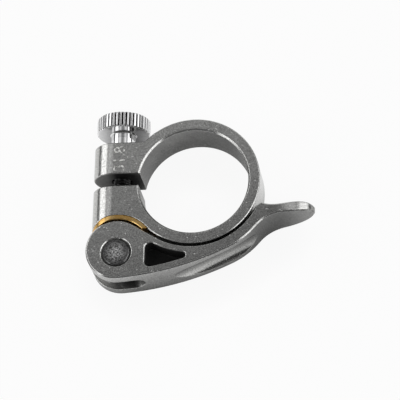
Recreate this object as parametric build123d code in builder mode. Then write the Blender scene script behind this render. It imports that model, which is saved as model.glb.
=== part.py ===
from build123d import *
from math import acos, atan2, cos, degrees, radians, sin, sqrt
import os

# Quick-release seatpost clamp. Millimetres. The origin is the centre of the seat tube bore at
# mid height, +Z runs along the seat tube, +Y along the bolt towards the thumb nut, and the
# ears of the split collar stand out towards -X.

# Split collar
seat_tube_diameter = 31.8
collar_wall = 3.4
collar_height = 13.0
collar_edge = 0.5

# Ears, slit and bolt line
bolt_offset = 2.5
ear_overhang = 1.7
nut_ear_length = 9.85
ear_fillet = 2.0
ear_edge = 0.25
slit_width = 3.7
slit_offset = 1.1
bolt_hole_diameter = 6.0

# Stud
stud_diameter = 5.0
stud_end_chamfer = 0.5
stud_inset = 0.8
thread_clearance = 0.02

# Cam eye, cam washer and the seat that the washer lies in
cam_radius = 8.85
cam_eccentricity = 0.9
cam_gap = 0.35
washer_thickness = 1.2
washer_edge = 0.2
washer_clearance = 0.05
washer_hole_clearance = 0.25
washer_rise = 7.0
seat_bite = 0.15
seat_blend = 8.0

# Pivot barrel
barrel_diameter = 8.0
barrel_clearance = 0.05
barrel_edge = 0.4
pivot_chamfer = 0.5

# Lever blade
lever_thickness = 13.0
lever_edge = 0.4
lever_gap = 0.65
blade_width = 3.35
back_radius = 87.0
neck_radius = 12.0
crest_radius = 0.8

# Finger tab, measured from the end of the blade's inner edge
tab_root_angle = -25.0
tab_back_angle = -28.2
tab_length = 16.4
tab_crest_run = 1.7
tab_crest_rise = 1.1
tab_dip_run = 4.8
tab_dip_rise = 0.5
tab_tip_run = 4.0
tab_rise = 1.8
tab_thickness = 2.95
tab_tip_rise = 1.6
tab_tip_thickness = 1.9
tab_round = 13.0

# Slot that lets the stud swing through the cam eye
slot_clearance = 0.4
slot_sweep = 212.0
slot_reach = 4.0

# Pocket in each face of the lever, and the scoop in its back
pocket_start = 8.3
pocket_length = 11.6
pocket_wall_inner = 2.0
pocket_wall_back = 2.2
pocket_inner_corner = 1.6
pocket_back_corner = 1.6
pocket_tip_share = 0.47
pocket_depth = 5.4
pocket_edge = 0.3
scoop_radius = 6.0
scoop_share = 0.52
scoop_end_angle = -39.5

# Thumb nut
nut_radius = 7.8
nut_head_height = 4.65
nut_shoulder_radius = 3.6
nut_shoulder_height = 4.75
nut_shoulder_bevel = 0.4
nut_edge = 0.4
nut_clearance = 0.05
knurl_teeth = 45
knurl_depth = 0.55

# Places worked out from the sizes above
bore_radius = seat_tube_diameter / 2
rim_radius = bore_radius + collar_wall
half_height = collar_height / 2
bolt_x = -(rim_radius + bolt_offset)
ear_center_x = bolt_x - ear_overhang
slit_top = slit_offset + slit_width / 2
nut_seat_y = slit_top + nut_ear_length
washer_inner_radius = cam_radius + cam_eccentricity + cam_gap
seat_radius = washer_inner_radius + washer_thickness + washer_clearance
pivot_reach = rim_radius + seat_radius - seat_bite
pivot_y = -sqrt(pivot_reach**2 - bolt_x**2)
pivot = Vector(bolt_x, pivot_y)
eye = pivot + Vector(0, cam_eccentricity)
barrel_radius = barrel_diameter / 2
stud_radius = stud_diameter / 2
nut_head_y = nut_seat_y + nut_shoulder_height
nut_end_y = nut_head_y + nut_head_height
everything = 4 * rim_radius
same_size = 0.001


def polar(radius, angle):
    """Point at a distance from the bore's axis, at an angle from +X in degrees."""
    return Vector(radius * cos(radians(angle)), radius * sin(radians(angle)))


def bolt_plane(y):
    """Plane across the bolt line at the given Y, with its normal along +Y."""
    return Plane(origin=(bolt_x, y, 0), x_dir=(1, 0, 0), z_dir=(0, 1, 0))


def ear_profile():
    """Section of the ears in XZ: flat faces that end in a half round."""
    with BuildSketch(Plane.XZ) as section:
        with Locations((ear_center_x, 0)):
            Circle(half_height)
            Rectangle(everything, collar_height, align=(Align.MIN, Align.CENTER))
    return section.sketch


# Split collar: ring, two ears, the washer's round seat, the slit and the bolt hole
ear_end_x = ear_center_x - half_height
to_pivot = pivot / pivot_reach
bite_along = (pivot_reach**2 + rim_radius**2 - seat_radius**2) / (2 * pivot_reach)
bite_across = sqrt(rim_radius**2 - bite_along**2)
bite_middle = to_pivot * bite_along
seat_corner = bite_middle + Vector(-to_pivot.Y, to_pivot.X) * bite_across
nut_corner = (-sqrt(rim_radius**2 - nut_seat_y**2), nut_seat_y)
with BuildPart() as clamp_collar:
    with BuildSketch() as plan:
        Circle(rim_radius)
        with BuildLine():
            Polyline(
                (0, nut_seat_y),
                (ear_end_x, nut_seat_y),
                (ear_end_x, pivot_y),
                pivot,
                bite_middle,
                (0, 0),
                close=True,
            )
        make_face()
        with Locations(pivot):
            Circle(seat_radius, mode=Mode.SUBTRACT)
        fillet(plan.vertices().sort_by_distance(nut_corner)[0], ear_fillet)
        fillet(plan.vertices().sort_by_distance(seat_corner)[0], seat_blend)
        Circle(bore_radius, mode=Mode.SUBTRACT)
        with Locations((0, slit_offset)):
            Rectangle(everything, slit_width, align=(Align.MAX, Align.CENTER), mode=Mode.SUBTRACT)
    extrude(amount=half_height, both=True)
    extrude(ear_profile(), amount=everything, both=True, mode=Mode.INTERSECT)
    ear_ends = clamp_collar.faces().filter_by(Axis.Y)
    chamfer(ear_ends.edges().filter_by(Axis.Z, reverse=True), ear_edge)
    rims = clamp_collar.edges().filter_by(GeomType.CIRCLE).filter_by(
        lambda edge: abs(abs(edge.arc_center.Z) - half_height) < same_size
        and min(abs(edge.radius - bore_radius), abs(edge.radius - rim_radius)) < same_size
    )
    chamfer(rims, collar_edge)
    with BuildSketch(Plane.XZ):
        with Locations((bolt_x, 0)):
            Circle(bolt_hole_diameter / 2)
    extrude(amount=everything, both=True, mode=Mode.SUBTRACT)
clamp_collar.part.label = "clamp_collar"

# Cam washer: curved strip between the cam and the ear, with level ends, cut to the ear's end
with BuildPart() as cam_washer:
    with BuildSketch():
        with Locations(pivot):
            Circle(washer_inner_radius + washer_thickness)
            Circle(washer_inner_radius, mode=Mode.SUBTRACT)
        with Locations(pivot + Vector(0, washer_rise)):
            Rectangle(everything, everything, align=(Align.CENTER, Align.MIN), mode=Mode.INTERSECT)
    extrude(amount=half_height, both=True)
    inner_rims = cam_washer.edges().filter_by(
        lambda edge: edge.geom_type == GeomType.CIRCLE
        and abs(edge.radius - washer_inner_radius) < same_size
    )
    chamfer(inner_rims, washer_edge)
    extrude(ear_profile(), amount=everything, both=True, mode=Mode.INTERSECT)
    with BuildSketch(Plane.XZ):
        with Locations((bolt_x, 0)):
            Circle(stud_radius + washer_hole_clearance)
    extrude(amount=everything, both=True, mode=Mode.SUBTRACT)
cam_washer.part.label = "cam_washer"

# Pivot barrel: cross pin in the cam eye, tapped across for the stud
with BuildPart() as pivot_barrel:
    with BuildSketch(Plane.XY.offset(-lever_thickness / 2)):
        with Locations(pivot):
            Circle(barrel_radius)
    extrude(amount=lever_thickness)
    chamfer(pivot_barrel.edges().filter_by(GeomType.CIRCLE), barrel_edge)
    with BuildSketch(bolt_plane(pivot_y)):
        Circle(stud_radius + thread_clearance)
    extrude(amount=barrel_diameter, both=True, mode=Mode.SUBTRACT)
pivot_barrel.part.label = "pivot_barrel"

# Stud: from inside the barrel, through washer and ears, to just short of the nut's end
stud_start = pivot_y - barrel_radius + stud_inset
with BuildPart() as stud:
    with BuildSketch(bolt_plane(stud_start)):
        Circle(stud_radius)
    extrude(amount=nut_end_y - stud_inset - stud_start)
    chamfer(stud.edges().filter_by(GeomType.CIRCLE), stud_end_chamfer)
stud.part.label = "stud"

# Cam lever: eye, blade round the collar and finger tab, cut by slot, pockets and scoop
half_thickness = lever_thickness / 2
inner_radius = rim_radius + lever_gap
outer_radius = inner_radius + blade_width
tab_root = polar(inner_radius, tab_root_angle)
tab_corner = polar(outer_radius, tab_back_angle)
tab_crest = tab_root + Vector(tab_crest_run, tab_crest_rise)
tab_dip = tab_root + Vector(tab_dip_run, tab_dip_rise)
tab_inner_mid = tab_root + Vector(tab_length - tab_tip_run, tab_rise)
tab_inner_tip = tab_root + Vector(tab_length, tab_tip_rise)
tab_outer_tip = tab_inner_tip - Vector(0, tab_tip_thickness)
tab_outer_mid = tab_inner_mid - Vector(0, tab_thickness)

# The neck is a straight tangent that crosses from the eye's circle to the blade's inner circle
span = eye.length
neck_angle = degrees(atan2(-eye.Y, -eye.X) + acos((cam_radius + inner_radius) / span))
neck_start = eye + polar(cam_radius, neck_angle)
neck_end = polar(-inner_radius, neck_angle)

# The long back is an arc that holds both the eye and the blade's outer circle inside it
eye_reach = back_radius - cam_radius
blade_reach = back_radius - outer_radius
back_along = (span**2 + eye_reach**2 - blade_reach**2) / (2 * span)
back_across = sqrt(eye_reach**2 - back_along**2)
from_eye = eye * (-1 / span)
back_center = eye + from_eye * back_along + Vector(-from_eye.Y, from_eye.X) * back_across
back_start = back_center + (eye - back_center).normalized() * back_radius
back_end = back_center - back_center.normalized() * back_radius
slot_half = stud_radius + slot_clearance
slot_radius = cam_radius + slot_reach
chord_point = back_end + (back_start - back_end) * scoop_share
scoop_start = back_center + (chord_point - back_center).normalized() * back_radius
scoop_run = polar(outer_radius, scoop_end_angle) - scoop_start

with BuildPart() as cam_lever:
    with BuildSketch() as outline:
        with BuildLine():
            Line(neck_start, neck_end)
            ThreePointArc(neck_end, (0, -inner_radius), tab_root)
            Line(tab_root, tab_crest)
            Spline(tab_crest, tab_dip, tab_inner_mid, tab_inner_tip)
            Line(tab_inner_tip, tab_outer_tip)
            ThreePointArc(tab_outer_tip, tab_outer_mid, tab_corner)
            RadiusArc(tab_corner, back_end, outer_radius)
            RadiusArc(back_end, back_start, back_radius)
            ThreePointArc(back_start, eye - Vector(cam_radius, 0), neck_start)
        make_face()
        fillet(outline.vertices().sort_by_distance(tab_corner)[0], neck_radius)
        fillet(outline.vertices().sort_by_distance(tab_crest)[0], crest_radius)
    extrude(amount=half_thickness, both=True)
    # The tab's tip is rounded like a paddle when seen from the back
    with BuildSketch(Plane.XZ):
        with Locations((tab_inner_tip.X - tab_round, 0)):
            Ellipse(tab_round, half_thickness)
            Rectangle(everything, lever_thickness, align=(Align.MAX, Align.CENTER))
    extrude(amount=everything, both=True, mode=Mode.INTERSECT)
    rims = cam_lever.edges().filter_by(Axis.Z, reverse=True).filter_by(Axis.Y, reverse=True)
    chamfer(rims, lever_edge)
    # Round hole for the pivot barrel, with a bevelled mouth on both faces
    with Locations(pivot):
        Hole(barrel_radius + barrel_clearance)
    mouths = cam_lever.edges().filter_by(GeomType.CIRCLE).filter_by(
        lambda edge: abs(edge.radius - barrel_radius - barrel_clearance) < same_size
    )
    chamfer(mouths, pivot_chamfer)
    # Slot round the eye, so that the stud can stay put while the lever swings
    with BuildSketch(Plane(origin=pivot)):
        with BuildLine():
            CenterArc((0, 0), slot_radius, 90, slot_sweep)
            Line((0, 0), polar(slot_radius, 90))
            Line((0, 0), polar(slot_radius, 90 + slot_sweep))
        make_face()
    extrude(amount=slot_half, both=True, mode=Mode.SUBTRACT)
    for angle in (90, 90 + slot_sweep):
        with BuildSketch(Plane(origin=pivot, x_dir=(0, 0, 1), z_dir=polar(1, angle))):
            Circle(slot_half)
        extrude(amount=slot_radius, mode=Mode.SUBTRACT)
    # Three-sided pocket sunk into each face between the eye and the blade
    for face_z, depth in ((half_thickness, -pocket_depth), (-half_thickness, pocket_depth)):
        with BuildSketch(Plane.XY.offset(face_z)) as pocket:
            with Locations((bolt_x + pocket_start, 0)):
                Rectangle(pocket_length, everything, align=(Align.MIN, Align.MAX))
            Circle(inner_radius + pocket_wall_inner, mode=Mode.SUBTRACT)
            with Locations(back_center):
                Circle(back_radius - pocket_wall_back, mode=Mode.INTERSECT)
            fillet(pocket.vertices().group_by(Axis.X)[0].sort_by(Axis.Y)[-1], pocket_inner_corner)
            fillet(pocket.vertices().group_by(Axis.X)[0].sort_by(Axis.Y)[0], pocket_back_corner)
            narrow_end = pocket.edges().filter_by(Axis.Y).sort_by(Axis.X)[-1]
            fillet(narrow_end.vertices(), pocket_tip_share * narrow_end.length)
        extrude(amount=depth, mode=Mode.SUBTRACT)
        chamfer(cam_lever.edges(Select.LAST).group_by(Axis.Z)[0 if depth > 0 else -1], pocket_edge)
    # Lens-shaped scoop: a straight round groove that the curved back runs out of at both ends
    with BuildSketch(Plane(origin=scoop_start, x_dir=(0, 0, 1), z_dir=scoop_run)):
        with Locations((0, scoop_radius)):
            Circle(scoop_radius)
    extrude(amount=scoop_run.length, mode=Mode.SUBTRACT)
cam_lever.part.label = "cam_lever"

# Thumb nut: plain shoulder on the ear and a round head with a straight knurl
groove_half_angle = 180 / knurl_teeth
groove_mouth = nut_radius + knurl_depth
with BuildPart() as thumb_nut:
    with BuildSketch(bolt_plane(nut_seat_y)):
        Circle(nut_shoulder_radius)
    extrude(amount=nut_shoulder_height)
    with BuildSketch(bolt_plane(nut_head_y)):
        Circle(nut_radius)
    extrude(amount=nut_head_height)
    rounds = thumb_nut.edges().filter_by(GeomType.CIRCLE)
    chamfer(rounds.filter_by(lambda edge: edge.radius > nut_radius - nut_edge), nut_edge)
    root = thumb_nut.edges().filter_by(GeomType.CIRCLE).sort_by_distance((bolt_x, nut_head_y, 0))
    chamfer(root[0], nut_shoulder_bevel)
    with BuildSketch(bolt_plane(nut_head_y)):
        with PolarLocations(0, knurl_teeth, start_angle=groove_half_angle):
            Polygon(
                (nut_radius - knurl_depth, 0),
                polar(groove_mouth, groove_half_angle),
                polar(groove_mouth, -groove_half_angle),
                align=None,
            )
    extrude(amount=nut_head_height, mode=Mode.SUBTRACT)
    with BuildSketch(bolt_plane(nut_seat_y)):
        Circle(stud_radius + nut_clearance)
    extrude(amount=nut_end_y - nut_seat_y, mode=Mode.SUBTRACT)
thumb_nut.part.label = "thumb_nut"

os.makedirs("parts", exist_ok=True)
export_step(clamp_collar.part, "parts/clamp_collar.step")
export_step(cam_washer.part, "parts/cam_washer.step")
export_step(pivot_barrel.part, "parts/pivot_barrel.step")
export_step(stud.part, "parts/stud.step")
export_step(cam_lever.part, "parts/cam_lever.step")
export_step(thumb_nut.part, "parts/thumb_nut.step")
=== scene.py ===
"""Quick-release seatpost clamp: finishes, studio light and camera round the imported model."""

import math

import bpy
from mathutils import Matrix, Vector


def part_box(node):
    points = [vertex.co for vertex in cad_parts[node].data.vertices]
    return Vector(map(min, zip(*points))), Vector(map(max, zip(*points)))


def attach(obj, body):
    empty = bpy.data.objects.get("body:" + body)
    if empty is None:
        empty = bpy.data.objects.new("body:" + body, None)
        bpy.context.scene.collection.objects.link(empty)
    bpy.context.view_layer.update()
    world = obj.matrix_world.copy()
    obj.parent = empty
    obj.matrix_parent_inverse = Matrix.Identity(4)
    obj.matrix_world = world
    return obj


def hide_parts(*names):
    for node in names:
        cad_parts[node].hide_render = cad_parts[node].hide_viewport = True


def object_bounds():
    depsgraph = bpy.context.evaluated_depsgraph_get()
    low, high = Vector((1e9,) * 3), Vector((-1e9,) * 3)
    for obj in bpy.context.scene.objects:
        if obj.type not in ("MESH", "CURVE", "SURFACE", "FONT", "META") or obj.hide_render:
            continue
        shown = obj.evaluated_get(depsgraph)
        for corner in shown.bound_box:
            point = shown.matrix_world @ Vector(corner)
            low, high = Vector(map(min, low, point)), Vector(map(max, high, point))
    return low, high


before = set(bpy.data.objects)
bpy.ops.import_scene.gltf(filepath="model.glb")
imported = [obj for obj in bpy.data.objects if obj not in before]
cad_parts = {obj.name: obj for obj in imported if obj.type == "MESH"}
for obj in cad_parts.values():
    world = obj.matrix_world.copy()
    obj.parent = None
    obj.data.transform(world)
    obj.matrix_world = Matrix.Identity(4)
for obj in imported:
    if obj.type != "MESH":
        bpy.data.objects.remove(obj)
cad_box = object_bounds()

MM = 0.001

# Camera: where it stands round the origin, in degrees, and the photograph's framing
CAMERA_AZIMUTH = 18.74
CAMERA_ELEVATION = 65.82
CAMERA_ROLL = -19.12
CAMERA_DISTANCE = 671.32 * MM
CAMERA_LENS = 208.735
CAMERA_SENSOR = 36.0
CAMERA_SHIFT = (0.0096, -0.02725)
CAMERA_CLIP = (0.01, 20)

# Stud thread, with the pitch of a standard 5 mm thread. Its flats are a share of the pitch, and its steps
# go round the stud.
THREAD_PITCH = 0.8 * MM
THREAD_DEPTH = 0.43 * MM
THREAD_FLAT = 0.125
THREAD_STEPS = 32
THREAD_ROWS_PER_TURN = 8
STUD_CHAMFER = 0.5 * MM

# Tube size marked on the ear that carries the nut, placed from the bolt line and from the nut's seat. A
# digit's height is a share of the letters' size.
MARK_TEXT = "31.8"
MARK_HEIGHT = 3.3 * MM
MARK_PROUD = 0.01 * MM
MARK_OFF_BOLT = 0.2 * MM
MARK_FROM_NUT = 5.2 * MM
DIGIT_SHARE = 0.7

# Most of a noise lies between these two values
NOISE_SPAN = (0.3, 0.7)

# Alloy of the collar and the lever: its colour and roughness, how round its edges are, how much brighter
# they are rubbed and painted as highlight lines, and the match of the rounded normal with the face's own
# over which that gives way
ALLOY_COLOR = (0.5, 0.5, 0.49)
ALLOY_ROUGHNESS = 0.2
EDGE_ROUND = 0.2 * MM
EDGE_WEAR_AND_HIGHLIGHT = 1.8
WEAR_AND_HIGHLIGHT_SPAN = (0.94, 0.99)

# Raised grit in the alloy: the height of a grain, where in its cell it falls off, and the share of cells
# without one
GRIT_HEIGHT = 0.08 * MM
GRIT_SLOPE = (0.1, 0.4)
GRIT_SPARED = 0.94

# Cast skin in the alloy's recesses, with painted shade and painted light in its colour: how near the walls
# of a recess are, the openness over which the painted tone and the skin's gloss give way to the polish,
# its roughness, and how much of it is metal
RECESS_REACH = 7 * MM
PAINTED_RECESS_SPAN = (0.65, 0.95)
SKIN_GLOSS_SPAN = (0.55, 0.9)
SKIN_ROUGHNESS = 0.65
SKIN_METAL = 0.1

# Painted light and shade in the recesses: tones to the -X and to the +X side of a short fade that starts
# beside the barrel
COLLAR_PAINTED_RECESS = (0.5, 0.02)
LEVER_PAINTED_RECESS = (1.4, 0.05)
RECESS_FADE = 3 * MM

# Painted shade that darkens the polish towards +X: where it is darkest and where that starts, the
# levelness over which a side turns into a level face, and the last tones of both
TAB_SHADE_FADE = (24 * MM, 0 * MM)
LEVEL_SPAN = (0.3, 0.7)
TAB_SHADE_TONES = (0.4, 0.85)
EVEN_TONES = (1, 1)

# Chrome: how near the walls of a groove are, the openness over which the painted shade in it gives way,
# how dark that painted shade is, and how round the knurl's teeth are
GROOVE_REACH = 1.2 * MM
GROOVE_SHADE_SPAN = (0.45, 0.85)
GROOVE_SHADE_TONE = 0.06
KNURL_ROUND = 0.2 * MM

# Worn patch on the barrel's end: where it is brightest and where it ends, as shares of the barrel's width
WORN_PATCH = (0.1, 0.4)

# Floor, in metres: how white it looks, how pale its paper is, and how it darkens at the object's foot, by
# how open it is towards one side
FLOOR_SIZE = 8
FLOOR_WHITE = 0.93
FLOOR_PAPER = 0.9
SHADE_REACH = 16 * MM
SHADE_FROM = (0.1, 0.75, 0.65)
SHADE_RANGE = (0.3, 0.82)
SHADE_TONE = 0.25

# Brightness of the room by the height of the direction, from the horizon to the ceiling
WALL_LEVELS = ((0.0, 1.0), (0.02, 0.6), (0.06, 0.08), (0.3, 0.2), (0.62, 0.1), (0.83, 1.0), (0.94, 0.0))

# Black flags round the object, in metres, all outside the lever's swing
FLAG_ENDS = {
    "left_flag": ((-0.12, -0.25), (-0.12, 0.25)),
    "right_flag": ((0.12, -0.25), (0.12, 0.25)),
    "front_flag": ((-0.003, -0.0925), (0.051, -0.0335)),
}
FLAG_HEIGHT = 0.014
FLAG_COLOR = (0.02, 0.02, 0.02, 1)
FLAG_ROUGHNESS = 0.9

# Two upright soft panels: their place and size in metres, and how bright they are
PANEL_DISTANCE = 0.5
PANEL_WIDTH = 0.95
PANEL_HEIGHT = 0.38
PANEL_LOW = 0.1
PANEL_FORWARD = -0.03
PANEL_RADIANCE = 1.8


# Helpers

def new_object(name, data):
    """New object in the scene."""
    made = bpy.data.objects.new(name, data)
    bpy.context.scene.collection.objects.link(made)
    return made


def feed(tree, node, inputs):
    """Sets each given input of a node to a value, or links it to another node's output."""
    for name, value in inputs.items():
        if isinstance(value, bpy.types.NodeSocket):
            tree.links.new(value, node.inputs[name])
        else:
            node.inputs[name].default_value = value


def add_node(tree, kind, inputs=None, **settings):
    """New shader node with its settings and its inputs."""
    node = tree.nodes.new(kind)
    for name, value in settings.items():
        setattr(node, name, value)
    feed(tree, node, inputs or {})
    return node


def empty_tree(owner):
    """Cleared node tree of a material or a world."""
    owner.use_nodes = True
    owner.node_tree.nodes.clear()
    return owner.node_tree


def new_material(name):
    """Material with a Principled shader on its output."""
    made = bpy.data.materials.new(name)
    tree = empty_tree(made)
    shader = add_node(tree, "ShaderNodeBsdfPrincipled")
    add_node(tree, "ShaderNodeOutputMaterial", {"Surface": shader.outputs["BSDF"]})
    return made, tree, shader


def own_place(tree):
    """Where each point lies in its own object, in metres."""
    return add_node(tree, "ShaderNodeTexCoord").outputs["Object"]


def component(tree, vector, axis):
    """The X, Y or Z of a vector."""
    return add_node(tree, "ShaderNodeSeparateXYZ", {0: vector}).outputs[axis]


def combine(tree, operation, *sources):
    """Grey sources or numbers brought together by one operation."""
    return add_node(tree, "ShaderNodeMath", dict(enumerate(sources)), operation=operation).outputs[0]


def spread(tree, source, low, high, to_low, to_high=1.0):
    """Maps a grey source from one range to another, held at the ends, which may be sources too."""
    ends = {"From Min": low, "From Max": high, "To Min": to_low, "To Max": to_high}
    return add_node(tree, "ShaderNodeMapRange", {"Value": source, **ends}).outputs["Result"]


def ramp(tree, source, low, high, dark, light):
    """Colour ramp from dark to light between two values of a grey source."""
    node = add_node(tree, "ShaderNodeValToRGB", {"Fac": source})
    first, last = node.color_ramp.elements
    first.position, first.color = low, (*dark, 1)
    last.position, last.color = high, (*light, 1)
    return node.outputs["Color"]


def tint(tree, color, factor):
    """A colour multiplied by a grey factor."""
    # A Mix node has several sockets of one name, so these are told by their places
    share, first_color, second_color, mixed_color = 0, 6, 7, 2
    inputs = {share: 1.0, first_color: color, second_color: factor}
    node = add_node(tree, "ShaderNodeMix", inputs, data_type="RGBA", blend_type="MULTIPLY")
    return node.outputs[mixed_color]


def noise(tree, place, scale, detail):
    """Grey noise with the given number of features in each metre."""
    inputs = {"Vector": place, "Scale": scale, "Detail": detail}
    return add_node(tree, "ShaderNodeTexNoise", inputs).outputs["Fac"]


def bump(tree, height, depth, strength, before=None):
    """Bump of the given depth from a grey height, on top of an earlier normal."""
    node = add_node(tree, "ShaderNodeBump", {"Height": height, "Distance": depth, "Strength": strength})
    if before:
        feed(tree, node, {"Normal": before})
    return node.outputs["Normal"]


def openness(tree, reach, toward=None):
    """How open a point is to its surroundings: 1 on a face, near 0 deep in a pocket of the same piece.

    With a direction, it is how open the point is towards that side, past all pieces.
    """
    node = add_node(
        tree,
        "ShaderNodeAmbientOcclusion",
        {"Distance": reach},
        only_local=toward is None,
        samples=16,
    )
    if toward:
        side = add_node(tree, "ShaderNodeCombineXYZ", dict(zip("XYZ", toward)))
        feed(tree, node, {"Normal": side.outputs[0]})
    return node.outputs["AO"]


def levelness(tree):
    """How level a face lies: 0 on an upright side, 1 on a flat top or bottom."""
    facing = add_node(tree, "ShaderNodeNewGeometry").outputs["Normal"]
    return combine(tree, "ABSOLUTE", component(tree, facing, "Z"))


def eased_edges(tree, radius):
    """Normal that rounds the piece's edges by a small radius."""
    return add_node(tree, "ShaderNodeBevel", {"Radius": radius}, samples=8).outputs["Normal"]


def edge_wear_and_highlight(tree, rounded):
    """Rubbed edges with painted highlight lines: over 1 where the rounded normal leaves the face's own."""
    facing = add_node(tree, "ShaderNodeNewGeometry").outputs["True Normal"]
    match = add_node(tree, "ShaderNodeVectorMath", {0: rounded, 1: facing}, operation="DOT_PRODUCT")
    return spread(tree, match.outputs["Value"], *WEAR_AND_HIGHLIGHT_SPAN, EDGE_WEAR_AND_HIGHLIGHT)


def scattered_grit(tree, place, scale):
    """Height of a few small grains, with the given number of cells in each metre and most cells smooth."""
    cells = add_node(tree, "ShaderNodeTexVoronoi", {"Vector": place, "Scale": scale})
    chance = add_node(tree, "ShaderNodeSeparateColor", {0: cells.outputs["Color"]}).outputs[0]
    chosen = combine(tree, "GREATER_THAN", chance, GRIT_SPARED)
    rise = spread(tree, cells.outputs["Distance"], *GRIT_SLOPE, 1.0, 0.0)
    return combine(tree, "MULTIPLY", chosen, rise)


# Materials

def polished_alloy(name, painted_recess_tones, fade_from, far_shade_tones):
    """Polished cast alloy: fine orange peel, a little glinting grit, and dull cast skin in its recesses.

    Painted light and shade in the recesses takes the first tone up to a place along X, and the second one
    after a short fade. Painted shade darkens the polish towards the +X end, to the first far shade tone on
    its sides and the second on level faces.
    """
    made, tree, shader = new_material(name)
    place = own_place(tree)
    along_x = component(tree, place, "X")
    grain = noise(tree, place, scale=2400, detail=5)
    clouds = noise(tree, place, scale=180, detail=2)
    sparkle = noise(tree, place, scale=4400, detail=2)
    grit = scattered_grit(tree, place, scale=2400)
    room = openness(tree, RECESS_REACH)
    rounded = eased_edges(tree, EDGE_ROUND)

    dark, light = ([c * share for c in ALLOY_COLOR] for share in (0.92, 1.06))
    tone = ramp(tree, clouds, *NOISE_SPAN, dark, light)
    speckle = spread(tree, sparkle, 0.35, 0.65, 0.68, 1.32)
    # Painted shade towards +X, darker on the sides than on level faces
    far_shade = spread(tree, levelness(tree), *LEVEL_SPAN, *far_shade_tones)
    tab_shade = spread(tree, along_x, *TAB_SHADE_FADE, far_shade)
    # Painted light and shade in the recesses, by how open a point is and where it lies along X
    painted_recess_tone = spread(tree, along_x, fade_from, fade_from + RECESS_FADE, *painted_recess_tones)
    painted_recess = spread(tree, room, *PAINTED_RECESS_SPAN, painted_recess_tone)
    # Rubbed edges with painted highlight lines, random speckle, painted shade towards +X, painted recess
    # tones
    for factor in (edge_wear_and_highlight(tree, rounded), speckle, tab_shade, painted_recess):
        tone = tint(tree, tone, factor)

    smoothest = 0.8 * ALLOY_ROUGHNESS
    gloss = spread(tree, grain, *NOISE_SPAN, smoothest, 1.25 * ALLOY_ROUGHNESS)
    matt = spread(tree, room, *SKIN_GLOSS_SPAN, SKIN_ROUGHNESS, smoothest)
    peel = bump(tree, grain, depth=0.01 * MM, strength=0.5, before=rounded)
    feed(tree, shader, {
        "Base Color": tone,
        "Roughness": combine(tree, "MAXIMUM", gloss, matt),
        "Metallic": spread(tree, room, *SKIN_GLOSS_SPAN, SKIN_METAL),
        "Specular IOR Level": 0.2,
        "Normal": bump(tree, grit, depth=GRIT_HEIGHT, strength=1.0, before=peel),
    })
    return made


def bright_chrome(name):
    """Thin bright plating with a faint ripple and painted shade in its grooves."""
    made, tree, shader = new_material(name)
    ripple = noise(tree, own_place(tree), scale=900, detail=2)
    rounded = eased_edges(tree, KNURL_ROUND)
    tone = ramp(tree, ripple, *NOISE_SPAN, (0.74, 0.74, 0.75), (0.82, 0.82, 0.82))
    # Painted shade in the knurl's grooves
    groove_shade = spread(tree, openness(tree, GROOVE_REACH), *GROOVE_SHADE_SPAN, GROOVE_SHADE_TONE)
    feed(tree, shader, {
        "Base Color": tint(tree, tone, groove_shade),
        "Roughness": spread(tree, ripple, *NOISE_SPAN, 0.05, 0.1),
        "Metallic": 1.0,
        "Normal": bump(tree, ripple, depth=0.01 * MM, strength=0.2, before=rounded),
    })
    return made


def plain_brass(name):
    """Rolled brass strip with light tarnish."""
    made, tree, shader = new_material(name)
    place = own_place(tree)
    tarnish = noise(tree, place, scale=500, detail=4)
    rolled = noise(tree, place, scale=3000, detail=3)
    feed(tree, shader, {
        "Base Color": ramp(tree, tarnish, 0.35, 0.7, (0.55, 0.32, 0.09), (0.85, 0.58, 0.24)),
        "Roughness": spread(tree, tarnish, *NOISE_SPAN, 0.3, 0.2),
        "Metallic": 1.0,
        "Normal": bump(tree, rolled, depth=0.01 * MM, strength=0.3),
    })
    return made


def mottled_steel(name, dark, light, roughness):
    """Darkened steel with a patchy, worn face."""
    made, tree, shader = new_material(name)
    patches = noise(tree, own_place(tree), scale=1100, detail=5)
    feed(tree, shader, {
        "Base Color": ramp(tree, patches, 0.38, 0.66, dark, light),
        "Roughness": spread(tree, patches, *NOISE_SPAN, 1.3 * roughness, 0.8 * roughness),
        "Metallic": 1.0,
        "Normal": bump(tree, patches, depth=0.03 * MM, strength=0.4),
    })
    return made


def worn_steel(name, middle, width):
    """Dark mottled steel that is rubbed bright towards the middle of a round end face."""
    made, tree, shader = new_material(name)
    place = own_place(tree)
    flat = add_node(tree, "ShaderNodeVectorMath", {0: place, 1: (1, 1, 0)}, operation="MULTIPLY")
    ends = {0: flat.outputs["Vector"], 1: (middle.x, middle.y, 0)}
    reach = add_node(tree, "ShaderNodeVectorMath", ends, operation="DISTANCE").outputs["Value"]
    patches = noise(tree, place, scale=3000, detail=3)
    dull = spread(tree, patches, 0.35, 0.65, 0.05, 0.25)
    worn = spread(tree, patches, 0.45, 0.58, 0.15)
    brightest, patch_end = (share * width for share in WORN_PATCH)
    feed(tree, shader, {
        "Base Color": spread(tree, reach, brightest, patch_end, worn, dull),
        "Roughness": spread(tree, patches, *NOISE_SPAN, 0.4, 0.25),
        "Metallic": 1.0,
        "Normal": bump(tree, patches, depth=0.05 * MM, strength=0.7),
    })
    return made


def etched_mark(name):
    """Bright etched lettering, broken up by the grain under it."""
    made, tree, shader = new_material(name)
    grain = noise(tree, own_place(tree), scale=1500, detail=4)
    feed(tree, shader, {
        "Base Color": ramp(tree, grain, 0.42, 0.56, (0.3, 0.3, 0.29), (1.0, 1.0, 0.97)),
        "Roughness": 0.55,
        "Metallic": 0.6,
        "Normal": bump(tree, grain, depth=0.03 * MM, strength=0.6),
    })
    return made


# Finish of each node

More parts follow.
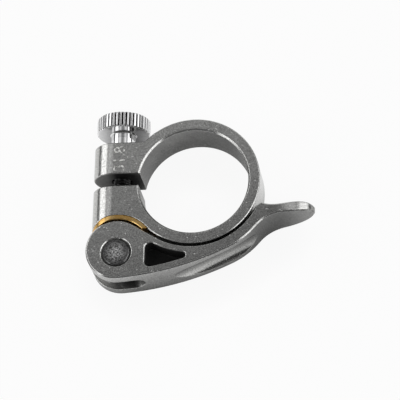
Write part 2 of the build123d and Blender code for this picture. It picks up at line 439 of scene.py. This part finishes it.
barrel_low, barrel_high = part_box("pivot_barrel")
barrel_middle = (barrel_low + barrel_high) / 2
barrel_width = barrel_high.x - barrel_low.x
finishes = {
    # The recess tones are painted light and shade, and the lever's far tones are painted shade
    "clamp_collar": polished_alloy("collar_alloy", COLLAR_PAINTED_RECESS, barrel_low.x, EVEN_TONES),
    "cam_lever": polished_alloy("lever_alloy", LEVER_PAINTED_RECESS, barrel_low.x, TAB_SHADE_TONES),
    "cam_washer": plain_brass("washer_brass"),
    "pivot_barrel": worn_steel("barrel_steel", barrel_middle, barrel_width),
    "stud": mottled_steel("stud_steel", dark=(0.03, 0.03, 0.03), light=(0.12, 0.12, 0.12), roughness=0.4),
    "thumb_nut": bright_chrome("nut_chrome"),
}
for node_name, finish in finishes.items():
    for material_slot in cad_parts[node_name].material_slots:
        material_slot.material = finish


# Pieces that the solids leave to this script

def thread_drop(phase):
    """Depth share of a thread's section: a flat crest, two flanks and a flat root."""
    flank = 0.5 - THREAD_FLAT
    phase = phase % 1.0
    if phase < THREAD_FLAT:
        return 0.0
    if phase < 0.5:
        return (phase - THREAD_FLAT) / flank
    if phase < 0.5 + THREAD_FLAT:
        return 1.0
    return 1.0 - (phase - 0.5 - THREAD_FLAT) / flank


def threaded_stud(name, node_name, finish):
    """The stud with its helical thread cut in, as long and as thick as its solid."""
    low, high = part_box(node_name)
    axis_x, axis_z = (low.x + high.x) / 2, (low.z + high.z) / 2
    radius = (high.z - low.z) / 2
    rows = int((high.y - low.y) / THREAD_PITCH * THREAD_ROWS_PER_TURN)
    verts, faces = [], []
    for row in range(rows + 1):
        y = low.y + (high.y - low.y) * row / rows
        cap = radius - STUD_CHAMFER + min(y - low.y, high.y - y, STUD_CHAMFER)
        for step in range(THREAD_STEPS):
            turn = step / THREAD_STEPS
            thread = radius - THREAD_DEPTH * thread_drop(y / THREAD_PITCH - turn)
            out = min(cap, thread)
            angle = 2 * math.pi * turn
            verts.append((axis_x + out * math.cos(angle), y, axis_z + out * math.sin(angle)))
    for row in range(rows):
        for step in range(THREAD_STEPS):
            here = row * THREAD_STEPS + step
            beside = row * THREAD_STEPS + (step + 1) % THREAD_STEPS
            faces.append((here, here + THREAD_STEPS, beside + THREAD_STEPS, beside))
    faces.append(tuple(range(THREAD_STEPS)))
    faces.append(tuple(reversed(range(rows * THREAD_STEPS, (rows + 1) * THREAD_STEPS))))
    mesh = bpy.data.meshes.new(name)
    mesh.from_pydata(verts, [], faces)
    mesh.materials.append(finish)
    piece = new_object(name, mesh)
    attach(piece, "collar")
    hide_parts(node_name)


def ear_mark(name):
    """Tube size in plain numbers on the top face of the ear that carries the nut."""
    collar_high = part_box("clamp_collar")[1]
    stud_low, stud_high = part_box("stud")
    nut_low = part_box("thumb_nut")[0]
    bolt_x = (stud_low.x + stud_high.x) / 2
    letters = bpy.data.curves.new(name, "FONT")
    letters.body = MARK_TEXT
    letters.size = MARK_HEIGHT / DIGIT_SHARE
    letters.align_x = "CENTER"
    letters.align_y = "CENTER"
    letters.extrude = MARK_PROUD
    drawn = new_object(name + "_text", letters)
    drawn.rotation_euler = (0, 0, math.pi / 2)
    drawn.location = (bolt_x + MARK_OFF_BOLT, nut_low.y - MARK_FROM_NUT, collar_high.z)
    bpy.context.view_layer.update()
    graph = bpy.context.evaluated_depsgraph_get()
    mesh = bpy.data.meshes.new_from_object(drawn.evaluated_get(graph))
    mesh.transform(drawn.matrix_world)
    bpy.data.objects.remove(drawn)
    mesh.materials.clear()
    mesh.materials.append(etched_mark("etched_mark"))
    piece = new_object(name, mesh)
    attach(piece, "collar")


threaded_stud("threaded_stud", "stud", finishes["stud"])
ear_mark("tube_size_mark")


# Studio

def white_floor():
    """Pale floor that the camera and the metal see as white, with a faint shadow at the object's foot."""
    bpy.ops.mesh.primitive_plane_add(size=FLOOR_SIZE, location=(0, 0, cad_box[0].z))
    floor = bpy.context.object
    floor.name = "floor"
    made = bpy.data.materials.new("floor_white")
    tree = empty_tree(made)
    light = spread(tree, openness(tree, SHADE_REACH, SHADE_FROM), *SHADE_RANGE, SHADE_TONE)
    shade = combine(tree, "MULTIPLY", light, light)
    paper_tone = combine(tree, "MULTIPLY", shade, FLOOR_PAPER)
    paper = add_node(tree, "ShaderNodeBsdfDiffuse", {"Color": paper_tone})
    glow = add_node(tree, "ShaderNodeEmission", {"Color": (1, 1, 1, 1), "Strength": 1.0})
    rays = add_node(tree, "ShaderNodeLightPath").outputs
    mirrored = combine(tree, "MAXIMUM", rays["Is Glossy Ray"], rays["Is Transmission Ray"])
    shaded = combine(tree, "MULTIPLY", mirrored, shade)
    seen = combine(tree, "MAXIMUM", rays["Is Camera Ray"], shaded)
    white = combine(tree, "MULTIPLY", seen, FLOOR_WHITE)
    blend = add_node(tree, "ShaderNodeMixShader", {"Fac": white, 1: paper.outputs[0], 2: glow.outputs[0]})
    add_node(tree, "ShaderNodeOutputMaterial", {"Surface": blend.outputs[0]})
    floor.data.materials.append(made)


def studio_world():
    """White horizon past the floor, dim walls, and a ceiling that is bright low down."""
    world = bpy.data.worlds.new("studio")
    bpy.context.scene.world = world
    tree = empty_tree(world)
    direction = add_node(tree, "ShaderNodeTexCoord").outputs["Generated"]
    walls = add_node(tree, "ShaderNodeValToRGB", {"Fac": component(tree, direction, "Z")})
    stops = walls.color_ramp.elements
    while len(stops) < len(WALL_LEVELS):
        stops.new(1.0)
    for stop, (height, level) in zip(stops, WALL_LEVELS):
        stop.position, stop.color = height, (level, level, level, 1)
    room = add_node(tree, "ShaderNodeBackground", {"Color": walls.outputs["Color"]})
    add_node(tree, "ShaderNodeOutputWorld", {"Surface": room.outputs[0]})


def low_flag(name, start, end):
    """Low black card on the floor, clear of the lever's swing, that shows only in reflections."""
    low = cad_box[0].z
    high = low + FLAG_HEIGHT
    mesh = bpy.data.meshes.new(name)
    mesh.from_pydata([(*start, low), (*end, low), (*end, high), (*start, high)], [], [(0, 1, 2, 3)])
    made, tree, shader = new_material(name)
    feed(tree, shader, {"Base Color": FLAG_COLOR, "Roughness": FLAG_ROUGHNESS})
    mesh.materials.append(made)
    card = new_object(name, mesh)
    card.visible_camera = card.visible_diffuse = card.visible_shadow = False


def side_panel(name, side):
    """Large soft lamp that stands upright beside the object, on the +X or the -X side."""
    lamp = bpy.data.lights.new(name, "AREA")
    lamp.shape = "RECTANGLE"
    lamp.size, lamp.size_y = PANEL_WIDTH, PANEL_HEIGHT
    lamp.energy = math.pi * PANEL_WIDTH * PANEL_HEIGHT * PANEL_RADIANCE
    made = new_object(name, lamp)
    made.location = (side * PANEL_DISTANCE, PANEL_FORWARD, PANEL_LOW + PANEL_HEIGHT / 2)
    made.rotation_euler = Vector((side, 0, 0)).to_track_quat("Z", "Y").to_euler()


def photo_camera():
    """Camera that sees the object as the photograph does."""
    azimuth, elevation, roll = map(math.radians, (CAMERA_AZIMUTH, CAMERA_ELEVATION, CAMERA_ROLL))
    back = Vector((
        math.sin(azimuth) * math.cos(elevation),
        -math.cos(azimuth) * math.cos(elevation),
        math.sin(elevation),
    ))
    level = Vector((math.cos(azimuth), math.sin(azimuth), 0))
    upright = back.cross(level)
    right = math.cos(roll) * level + math.sin(roll) * upright
    up = math.cos(roll) * upright - math.sin(roll) * level
    data = bpy.data.cameras.new("camera")
    data.lens = CAMERA_LENS
    data.sensor_width = CAMERA_SENSOR
    data.shift_x, data.shift_y = CAMERA_SHIFT
    data.clip_start, data.clip_end = CAMERA_CLIP
    camera = new_object("camera", data)
    turn = Matrix((right, up, back)).transposed()
    camera.matrix_world = Matrix.Translation(back * CAMERA_DISTANCE) @ turn.to_4x4()
    bpy.context.scene.camera = camera


white_floor()
studio_world()
for flag_name, (flag_start, flag_end) in FLAG_ENDS.items():
    low_flag(flag_name, flag_start, flag_end)
side_panel("left_panel", -1)
side_panel("right_panel", 1)
photo_camera()
bpy.context.scene.view_settings.view_transform = "Standard"
